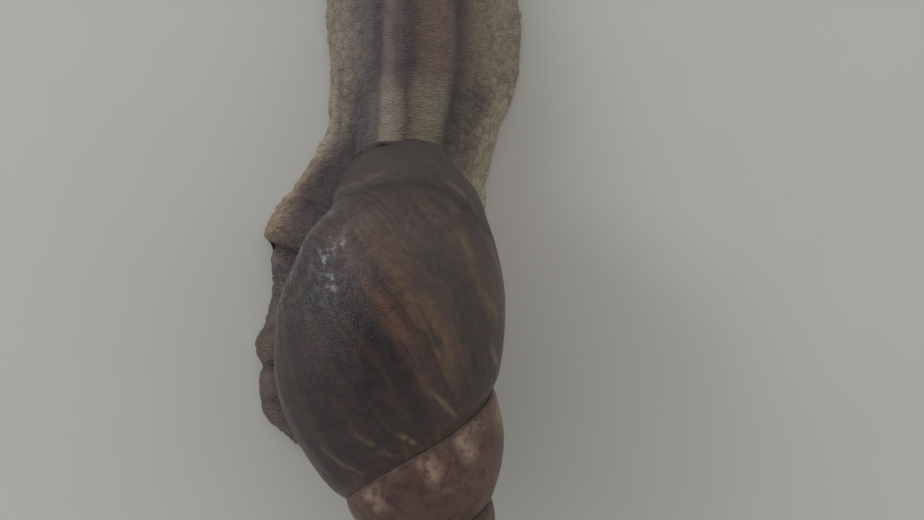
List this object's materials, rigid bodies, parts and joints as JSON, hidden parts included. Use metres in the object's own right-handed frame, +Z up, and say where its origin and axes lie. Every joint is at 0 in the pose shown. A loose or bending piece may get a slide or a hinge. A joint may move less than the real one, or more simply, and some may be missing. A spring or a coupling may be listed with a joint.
{
  "type": "giant african land snail",
  "caption": "Still life-size land snail: long flat-soled foot, raised neck, head with feelers and stalked eyes, and a tall right-hand spiral shell swung to one side.",
  "frame": {"origin": "middle of the bounding box's underside, on the floor under the sole", "axes": "+Z up, head towards -Y, shell apex and tail towards +Y, the animal's left side towards +X"},
  "size_m": [0.0412, 0.1295, 0.0404],
  "materials": {
    "shell": "glossy dark brown horn with orange-brown growth streaks and a faint blue sheen",
    "shell_spire": "glossy red-brown horn, paler and blotched with cream towards the apex",
    "mantle": "moist grey-brown flesh with a pale edge",
    "foot": "moist cream-tan flesh with brown cross wrinkles and a pale yellow hem",
    "skin": "moist wrinkled brown skin, near black along the middle and pale cream beside it",
    "eye": "wet near-black bead"
  },
  "bodies": {
    "root": {"shell_body_whorl": "shell", "shell_penultimate_whorl": "shell_spire", "shell_spire": "shell_spire", "shell_apex": "shell_spire", "mantle_collar": "mantle", "foot_front": "foot", "foot_middle": "foot", "foot_rear": "foot", "tail": "foot", "neck_front": "skin", "neck_rear": "skin", "trunk": "skin", "head": "skin", "snout": "skin", "upper_tentacle_left": "skin", "upper_tentacle_right": "skin", "lower_tentacle_left": "skin", "lower_tentacle_right": "skin", "eye_left": "eye", "eye_right": "eye"}
  },
  "joints": []
}
